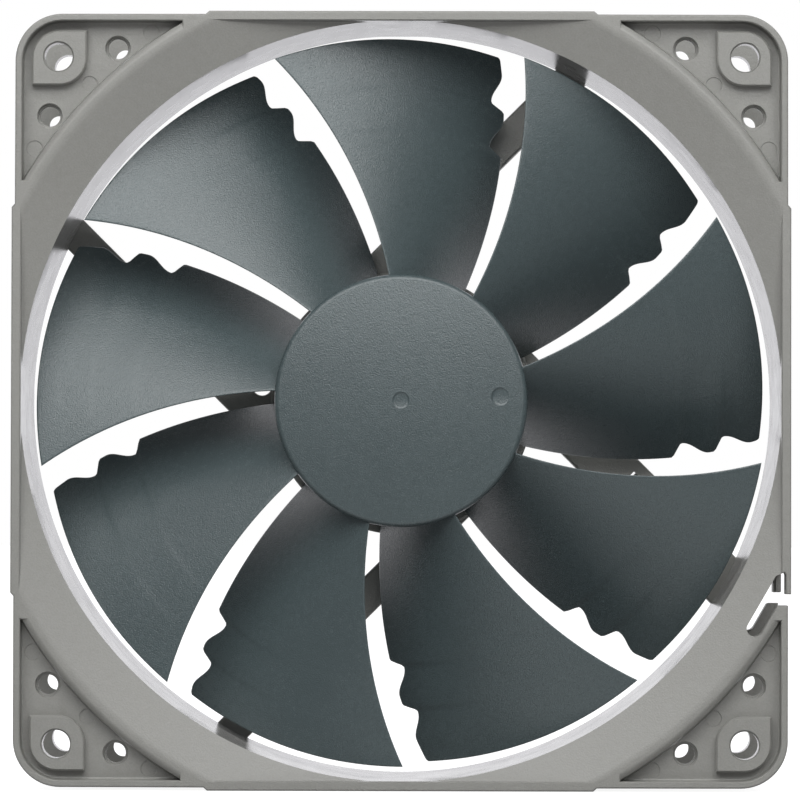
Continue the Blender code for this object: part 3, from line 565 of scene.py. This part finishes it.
def cable_exit_cutters():
    """The slot through both flanges and the window in the side panel where the cable leaves."""
    front_levels = [(0.0, FRONT_SLOT_FLOOR), (0.0, FRONT - 0.15 * MM), (0.2 * MM, FRONT + 0.05 * MM)]
    rear_levels = [(0.0, REAR - CLEAR), (0.0, REAR_SLOT_TOP)]
    window_levels = [(0.0, -PANEL_WINDOW_HALF), (0.0, PANEL_WINDOW_HALF)]
    return [prism("front_slot", slot_outline(*FRONT_SLOT), front_levels),
            prism("rear_slot", slot_outline(*REAR_SLOT), rear_levels),
            prism("panel_window", PANEL_WINDOW, window_levels)]


def polish_walls(shell):
    """Give the duct's wall and the holes' walls their polished finish."""
    shell.data.materials.append(DUCT_WALL)
    bores = [(HOLE, HOLE, HOLE_RADIUS + 0.15 * MM)] + [(x, y, PEG_RADIUS + 0.05 * MM) for x, y in PEGS]
    for face in shell.data.polygons:
        x, y = abs(face.center.x), abs(face.center.y)
        in_duct = math.hypot(x, y) < BORE_RADIUS + 0.01 * MM
        in_hole = any(math.hypot(x - a, y - b) < radius for a, b, radius in bores)
        if (in_duct or in_hole) and abs(face.normal.z) < WALL_LEAN:
            face.material_index = 1


def build_frame_shell():
    """The duct with its two flanges, side panels and corners."""
    shell = prism("frame_shell", frame_outline(), rounded_levels(REAR, FRONT, EDGE, EDGE))
    combine(shell, [bore_cutter()], "DIFFERENCE")
    combine(shell, [corner_gap()], "DIFFERENCE")
    combine(shell, [mirrored(pocket_cutter(), (0, 1, 2))], "DIFFERENCE")
    holes = [hole_cutter(HOLE_RADIUS, (HOLE, HOLE), FRONT - BOSS_DROP, HOLE_RADIUS + CHAMFER, 0.05 * MM)]
    for at in PEGS:
        holes.append(hole_cutter(PEG_RADIUS, at, FRONT - POCKET_DEPTH, PEG_SEAT_RADIUS, PEG_SEAT_DEPTH))
    combine(shell, holes, "DIFFERENCE")
    combine(shell, cable_exit_cutters(), "DIFFERENCE")
    finish_piece(shell, "stator", "frame_plastic", ["frame"])
    polish_walls(shell)


# ---- struts and motor base ----

STRUT_REAR = REAR + 0.2 * MM
STRUT_FRONT = -9.0 * MM
STRUT_END = 57.2 * MM
STRUT_HEADING = 45.0
# A strut's two sides, as distances from the line along its heading through the centre.
STRUT_LINES = (15.1 * MM, 20.1 * MM)
STRUT_ROUNDING = 0.5 * MM
FILLET = 1.5 * MM
BASE_RADIUS = 20.6 * MM
BASE_WALL = 1.1 * MM
BASE_TOP = -7.6 * MM
BASE_FLOOR = -10.3 * MM
BASE_ROUNDING = 0.35 * MM
LABEL_RADIUS = 18.3 * MM
LABEL_RECESS = 0.6 * MM
SOCKET_BORE = 4.5 * MM
SOCKET_RADIUS = 6.3 * MM
SOCKET_TOP = -8.3 * MM
# The strut that carries the cable is wider, with a channel, three windows and a clip at each.
CABLE_STRUT = 3
CABLE_STRUT_LINES = (12.2 * MM, 20.1 * MM)
CHANNEL_WIDTH = 5.5 * MM
CHANNEL_FLOOR = -10.2 * MM
CHANNEL_START = 9.0 * MM
CHANNEL_END = 62.5 * MM
WINDOW_PLACES = (23.1 * MM, 35.5 * MM, 47.2 * MM)
WINDOW_HALF = 2.2 * MM
CLIP_WIDTH = 2.2 * MM


def strut_star():
    """The motor base's circle with four slanted struts, joined to it by fillets."""
    reach = BASE_RADIUS + FILLET
    outline = []
    for index in range(4):
        near, far = CABLE_STRUT_LINES if index == CABLE_STRUT else STRUT_LINES
        following = CABLE_STRUT_LINES[0] if index + 1 == CABLE_STRUT else STRUT_LINES[0]
        low_along = math.sqrt(reach ** 2 - (near - FILLET) ** 2)
        low_angle = math.degrees(math.atan2(near - FILLET, low_along))
        high_along = math.sqrt(reach ** 2 - (far + FILLET) ** 2)
        high_angle = math.degrees(math.atan2(far + FILLET, high_along))
        part = arc((low_along, near - FILLET), FILLET, 180.0 + low_angle, 90.0, 8)
        part += [(STRUT_END, near), (STRUT_END, far)]
        part += arc((high_along, far + FILLET), FILLET, 270.0, 180.0 + high_angle, 8)
        next_along = math.sqrt(reach ** 2 - (following - FILLET) ** 2)
        next_angle = 90.0 + math.degrees(math.atan2(following - FILLET, next_along))
        part += arc((0, 0), BASE_RADIUS, high_angle, next_angle, 10)[1:-1]
        outline += turn_points(part, STRUT_HEADING + 90.0 * index)
    return outline


def motor_cup():
    """The motor base: a cup open to the front, with the bearing's socket and a label recess."""
    rim = BASE_RADIUS - BASE_WALL
    soft = BASE_ROUNDING
    recess = REAR + LABEL_RECESS
    profile = [(BASE_RADIUS - soft, BASE_TOP), (BASE_RADIUS, BASE_TOP - soft),
               (BASE_RADIUS, REAR + soft), (BASE_RADIUS - soft, REAR),
               (LABEL_RADIUS + 0.15 * MM, REAR), (LABEL_RADIUS, REAR + 0.15 * MM),
               (LABEL_RADIUS, recess), (SOCKET_BORE, recess), (SOCKET_BORE, SOCKET_TOP),
               (SOCKET_RADIUS - 0.3 * MM, SOCKET_TOP), (SOCKET_RADIUS, SOCKET_TOP - 0.3 * MM),
               (SOCKET_RADIUS, BASE_FLOOR + soft), (SOCKET_RADIUS + soft, BASE_FLOOR),
               (rim - soft, BASE_FLOOR), (rim, BASE_FLOOR + soft), (rim, BASE_TOP)]
    return turned("cup", profile, 128)


def strut_bar(name, offset, width, start, end, levels):
    """A bar along the cable strut."""
    outline = rectangle(start, end, offset - width / 2, offset + width / 2)
    return prism(name, turn_points(outline, STRUT_HEADING + 90.0 * CABLE_STRUT), levels)


def build_strut_star():
    """Struts and motor cup, with the cable's channel, windows and clips along the last strut."""
    star = prism("frame_struts", strut_star(),
                 rounded_levels(STRUT_REAR, STRUT_FRONT, STRUT_ROUNDING, STRUT_ROUNDING))
    inside = BASE_RADIUS - BASE_WALL - 0.3 * MM
    hollow = [(0.0, 0.0), (inside, 0.0), (inside, REAR - CLEAR), (0.0, REAR - CLEAR)]
    combine(star, [turned("hollow", hollow, 96, closed=False)], "DIFFERENCE")
    combine(star, [motor_cup()], "UNION")

    middle = sum(CABLE_STRUT_LINES) / 2
    channel_levels = [(0.0, REAR - CLEAR), (0.0, CHANNEL_FLOOR)]
    window_levels = [(0.0, CHANNEL_FLOOR - 0.5 * MM), (0.0, STRUT_FRONT + CLEAR)]
    clip_levels = rounded_levels(STRUT_REAR + 0.1 * MM, STRUT_REAR + 1.0 * MM, 0.25 * MM, 0.25 * MM)
    clip_middle = middle + CHANNEL_WIDTH / 2 - 0.6 * MM
    cuts = [strut_bar("channel", middle, CHANNEL_WIDTH, CHANNEL_START, CHANNEL_END, channel_levels)]
    clips = []
    for index, place in enumerate(WINDOW_PLACES):
        start, end = place - WINDOW_HALF, place + WINDOW_HALF
        cuts.append(strut_bar("window_%d" % index, middle, CHANNEL_WIDTH - 1.2 * MM, start, end,
                              window_levels))
        clips.append(strut_bar("clip_%d" % index, clip_middle, CLIP_WIDTH, start + 0.4 * MM,
                               end - 0.4 * MM, clip_levels))
    combine(star, cuts, "DIFFERENCE")
    combine(star, clips, "UNION")
    finish_piece(star, "stator", "frame_plastic", ["frame"])


# ---- impeller ----

BLADES = 9
PITCH = 360.0 / BLADES
HUB_RADIUS = 19.35 * MM
HUB_FRONT = 11.35 * MM
HUB_CROWN = 1.1 * MM
HUB_BOTTOM = -7.0 * MM
HUB_WALL = 1.3 * MM
HUB_EDGE = 0.9 * MM
TIP_RADIUS = 56.0 * MM
# Each edge's angle in degrees, and its height, at the hub and at the tip.
LEADING = (15.6, 30.4)
TRAILING = (20.5, 34.2)
LEADING_HEIGHTS = (10.6 * MM, 8.6 * MM)
TRAILING_HEIGHTS = (-5.6 * MM, -4.4 * MM)
# How much a section bulges towards the intake: 0 is straight.
CAMBER = 0.34
BLADE_THICKNESS = 1.7 * MM
# The radii of a trailing edge's two notches, in three patterns that the blades take in turn.
NOTCHES = [(40.6 * MM, 47.5 * MM), (41.7 * MM, 48.4 * MM), (43.5 * MM, 49.8 * MM)]
# How deep the two notches are, in degrees. A notch's steep side reaches NOTCH_STEP each way from
# its radius, and its long side ends at NOTCH_RUN from it.
NOTCH_ANGLES = (2.8, 2.4)
NOTCH_STEP = 0.5 * MM
NOTCH_RUN = 5.2 * MM
# Places across a blade, from 0 at its leading edge to 1 at its trailing edge.
EDGE_CHORDS = [0.0, 0.0008, 0.0025, 0.0055, 0.01, 0.03]
CHORDS = EDGE_CHORDS + [0.06 + 0.88 * i / 24 for i in range(25)] + [1 - c for c in EDGE_CHORDS[::-1]]
EDGE_REACH = 0.01
TIP_REACH = 0.2 * MM
# The tip's trailing corner is set back by this angle in degrees, within this reach of the tip.
TIP_CORNER = 0.25
TIP_CORNER_REACH = 0.5 * MM
ROOT_DEPTH = 0.7 * MM
HUB_TOP_THICKNESS = 1.5 * MM
DIMPLES = [(1.15 * MM, (0.0, 0.0)), (1.25 * MM, (15.3 * MM, 0.6 * MM))]
DIMPLE_DEPTH = 0.16 * MM


def smooth_step(value, start, end):
    """0 before the start to 1 past the end, with a smooth rise between."""
    t = min(max((value - start) / (end - start), 0.0), 1.0)
    return t * t * (3.0 - 2.0 * t)


def notch_cut(radius, places):
    """How far, in degrees, the two notches set the trailing edge back at a radius."""
    cut = 0.0
    for at, depth in zip(places, NOTCH_ANGLES):
        rise = smooth_step(radius - at, -NOTCH_STEP, NOTCH_STEP)
        fall = smooth_step(radius - at, NOTCH_STEP, NOTCH_RUN)
        cut += depth * (rise - fall)
    return cut


def blade_point(radius, chord):
    """The blade's middle surface: 0 at the leading edge to 1 at the trailing edge."""
    span = (radius - HUB_RADIUS) / (TIP_RADIUS - HUB_RADIUS)
    bow = span * (span - 1)
    leading = LEADING[0] + (LEADING[1] - LEADING[0]) * (span + 0.14 * bow) + PITCH
    trailing = TRAILING[0] + (TRAILING[1] - TRAILING[0]) * (span + 0.22 * bow)
    top = LEADING_HEIGHTS[0] + (LEADING_HEIGHTS[1] - LEADING_HEIGHTS[0]) * span
    low = TRAILING_HEIGHTS[0] + (TRAILING_HEIGHTS[1] - TRAILING_HEIGHTS[0]) * span
    angle = math.radians(leading + (trailing - leading) * chord)
    height = top + (low - top) * (chord + CAMBER * chord * (chord - 1))
    return Vector((radius * math.cos(angle), radius * math.sin(angle), height))


def blade_normal(radius, chord):
    """The middle surface's normal, towards the intake."""
    along = blade_point(radius, chord + 0.001) - blade_point(radius, chord - 0.001)
    across = blade_point(radius + 0.01 * MM, chord) - blade_point(radius - 0.01 * MM, chord)
    normal = along.cross(across).normalized()
    return normal if normal.z > 0 else -normal


def ease(distance, reach):
    """0 at an edge to 1 beyond a reach, along a quarter ellipse."""
    t = min(max(distance / reach, 0.0), 1.0)
    return math.sqrt(1 - (1 - t) ** 2)


def blade_stations(places):
    """Radii from inside the hub's wall to the tip, close together at the notches and ends."""
    radii = [HUB_RADIUS - ROOT_DEPTH + 0.35 * MM * i for i in range(7)]
    radius = radii[-1]
    while radius < TIP_RADIUS - 1.3 * MM:
        near = any(-2.2 * MM < radius - at < NOTCH_RUN for at in places)
        radius += 0.3 * MM if near else 1.0 * MM
        radii.append(radius)
    return radii + [TIP_RADIUS - back * MM for back in (0.9, 0.7, 0.5, 0.3, 0.2, 0.1, 0.03, 0.0)]


def blade_section(radius, places):
    """The points round a blade at a radius: its front from edge to edge, and its back again."""
    corner = TIP_CORNER * max(0.0, 1.0 - (TIP_RADIUS - radius) / TIP_CORNER_REACH) ** 2
    reach = 1.0 - (notch_cut(radius, places) + corner) / (LEADING[1] + PITCH - TRAILING[1])
    tip = 0.3 + 0.7 * ease(TIP_RADIUS - radius, TIP_REACH)
    front = []
    back = []
    for chord in CHORDS:
        bulk = 0.08 + 0.92 * math.sin(math.pi * (0.02 + 0.94 * chord))
        half = BLADE_THICKNESS / 2 * bulk * tip
        half *= ease(min(chord, 1 - chord), EDGE_REACH)
        normal = blade_normal(radius, chord * reach)
        middle = blade_point(radius, chord * reach)
        front.append(middle + normal * half)
        back.append(middle - normal * half)
    return front + back[-2:0:-1]


def end_faces(row):
    """Faces that close a section, from each front point to the back point under it."""
    count = len(CHORDS)
    under = [0] + list(range(2 * count - 3, count - 1, -1)) + [count - 1]
    faces = []
    for i in range(count - 1):
        corners = [row[i], row[i + 1], row[under[i + 1]], row[under[i]]]
        faces.append(sorted(set(corners), key=corners.index))
    return faces


def blade(index):
    """One blade, lofted from root to tip through thin cambered sections with round edges."""
    places = NOTCHES[index % len(NOTCHES)]
    points = []
    rows = []
    for radius in blade_stations(places):
        section = blade_section(radius, places)
        rows.append(range(len(points), len(points) + len(section)))
        points += section
    faces = end_faces(rows[0]) + end_faces(rows[-1])
    for lower, upper in zip(rows, rows[1:]):
        for i in range(len(lower)):
            j = (i + 1) % len(lower)
            faces.append([lower[i], lower[j], upper[j], upper[i]])
    work = bmesh.new()
    work.from_mesh(mesh_of("blade", points, faces))
    bmesh.ops.remove_doubles(work, verts=work.verts, dist=0.000001)
    bmesh.ops.recalc_face_normals(work, faces=work.faces)
    mesh = bpy.data.meshes.new("blade_%d" % index)
    work.to_mesh(mesh)
    work.free()
    mesh.transform(Matrix.Rotation(math.radians(PITCH * index), 4, "Z"))
    return new_object("blade_%d" % index, mesh)


def dimple_cutter(radius, at, face):
    """A shallow round dimple in the hub's face, with a soft edge."""
    profile = [(0.0, face + CLEAR), (radius + 0.3 * MM, face + CLEAR),
               (radius + 0.3 * MM, face + 0.1 * MM), (radius, face - 0.12 * MM),
               (radius - 0.2 * MM, face - DIMPLE_DEPTH), (0.0, face - DIMPLE_DEPTH)]
    dimple = turned("dimple", profile, 40, closed=False)
    dimple.data.transform(Matrix.Translation((at[0], at[1], 0.0)))
    return dimple


def build_impeller():
    """The domed hub cap with two dimples, and its nine blades."""
    flat = HUB_RADIUS - HUB_EDGE
    profile = []
    for i in range(12):
        profile.append((flat * i / 12, HUB_FRONT + HUB_CROWN * (1 - (i / 12) ** 2)))
    profile += arc((flat, HUB_FRONT - HUB_EDGE), HUB_EDGE, 83.0, 0.0, 8)
    inner = HUB_RADIUS - HUB_WALL
    ceiling = HUB_FRONT - HUB_TOP_THICKNESS
    profile += [(HUB_RADIUS, HUB_BOTTOM), (inner, HUB_BOTTOM), (inner, ceiling), (0.0, ceiling)]
    hub = turned("impeller_moulding", profile, 180, closed=False)
    dimples = []
    for radius, at in DIMPLES:
        face = HUB_FRONT + HUB_CROWN * (1 - (at[0] / flat) ** 2)
        dimples.append(dimple_cutter(radius, at, face))
    combine(hub, dimples, "DIFFERENCE")
    gather(hub, [blade(index) for index in range(BLADES)])
    finish_piece(hub, "rotor", "blade_plastic", ["impeller"])


# ---- studio ----

# How strongly the room lights the fan from in front and from behind.
ROOM_FRONT = 0.24
ROOM_BEHIND = 1.15
ROOM_COLOUR = (0.975, 0.97, 1.0, 1.0)
WHITE = (1.0, 1.0, 1.0, 1.0)
FLOOR_COLOUR = (0.4, 0.4, 0.4, 1.0)
FLOOR_HALF = 4.0
FLOOR_GLOW = 0.85


def make_floor():
    """A plain white floor that carries some light of its own, as a light table does."""
    mesh = bpy.data.meshes.new("floor")
    work = bmesh.new()
    bmesh.ops.create_grid(work, x_segments=1, y_segments=1, size=FLOOR_HALF)
    work.to_mesh(mesh)
    work.free()
    floor = new_object("floor", mesh)
    floor.location.z = -0.05 * MM
    material = bpy.data.materials.new("white_floor")
    material.use_nodes = True
    shader = material.node_tree.nodes["Principled BSDF"]
    shader.inputs["Base Color"].default_value = FLOOR_COLOUR
    shader.inputs["Roughness"].default_value = 0.9
    shader.inputs["Emission Color"].default_value = WHITE
    shader.inputs["Emission Strength"].default_value = FLOOR_GLOW
    mesh.materials.append(material)
    floor.visible_diffuse = False
    floor.visible_glossy = False


def make_world():
    """A white room, seen as pure white. It lights the fan softly, and strongly from behind."""
    world = bpy.data.worlds.new("white_room")
    bpy.context.scene.world = world
    world.use_nodes = True
    tree = world.node_tree
    output = tree.nodes["World Output"]
    room = tree.nodes["Background"]
    way = add_node(tree, "ShaderNodeTexCoord").outputs["Generated"]
    depth = add_node(tree, "ShaderNodeSeparateXYZ", {0: way}).outputs["Y"]
    strength = add_node(tree, "ShaderNodeMapRange", {
        "Value": depth, "From Min": 0.0, "From Max": 0.6,
        "To Min": ROOM_FRONT, "To Max": ROOM_BEHIND}, interpolation_type="SMOOTHSTEP")
    tree.links.new(strength.outputs["Result"], room.inputs["Strength"])
    room.inputs["Color"].default_value = ROOM_COLOUR
    seen = add_node(tree, "ShaderNodeBackground", {"Color": WHITE})
    path = add_node(tree, "ShaderNodeLightPath")
    mix = add_node(tree, "ShaderNodeMixShader", {
        0: path.outputs["Is Camera Ray"], 1: room.outputs[0], 2: seen.outputs[0]})
    tree.links.new(mix.outputs[0], output.inputs["Surface"])


def add_softbox(name, elevation, distance, width, height, radiance):
    """A softbox in front of the fan at an elevation in degrees, aimed at the fan's centre."""
    light = bpy.data.lights.new(name, "AREA")
    light.shape = "RECTANGLE"
    light.size = width
    light.size_y = height
    light.energy = radiance * math.pi * width * height
    lamp = new_object(name, light)
    angle = math.radians(elevation)
    back = Vector((0.0, -math.cos(angle), math.sin(angle)))
    lamp.location = Vector((0.0, 0.0, PANEL_HALF)) + back * distance
    lamp.rotation_mode = "QUATERNION"
    lamp.rotation_quaternion = back.to_track_quat("Z", "Y")
    lamp.visible_camera = False
    return lamp


# ---- camera ----

CAMERA_PLACE = (4.346 * MM, -15.685 * MM, 728.796 * MM)
CAMERA_YAW = math.radians(-0.3584)
CAMERA_PITCH = math.radians(1.2587)
CAMERA_ROLL = math.radians(-0.1317)
CAMERA_LENS = 211.54
SENSOR_WIDTH = 36.0


def make_camera():
    """A long lens straight in front of the intake, a little below the axis."""
    data = bpy.data.cameras.new("camera")
    data.lens = CAMERA_LENS
    data.sensor_width = SENSOR_WIDTH
    camera = new_object("camera", data)
    turn = Matrix.Rotation(CAMERA_ROLL, 4, "Z")
    turn = turn @ Matrix.Rotation(-CAMERA_PITCH, 4, "X") @ Matrix.Rotation(CAMERA_YAW, 4, "Y")
    camera.matrix_world = FAN @ Matrix.Translation(CAMERA_PLACE) @ turn.transposed()
    bpy.context.scene.camera = camera


# ---- scene ----

make_world()
make_floor()
add_softbox("key", 44.0, 0.56, 0.82, 0.42, 3.55)
add_softbox("bounce", -40.0, 1.20, 1.60, 0.80, 0.9)
add_softbox("sheen", 26.5, 1.20, 1.20, 0.62, 3.2).visible_diffuse = False
make_camera()
bpy.context.scene.view_settings.view_transform = "Standard"
dress_cad_nodes()
build_frame_shell()
build_strut_star()
build_impeller()
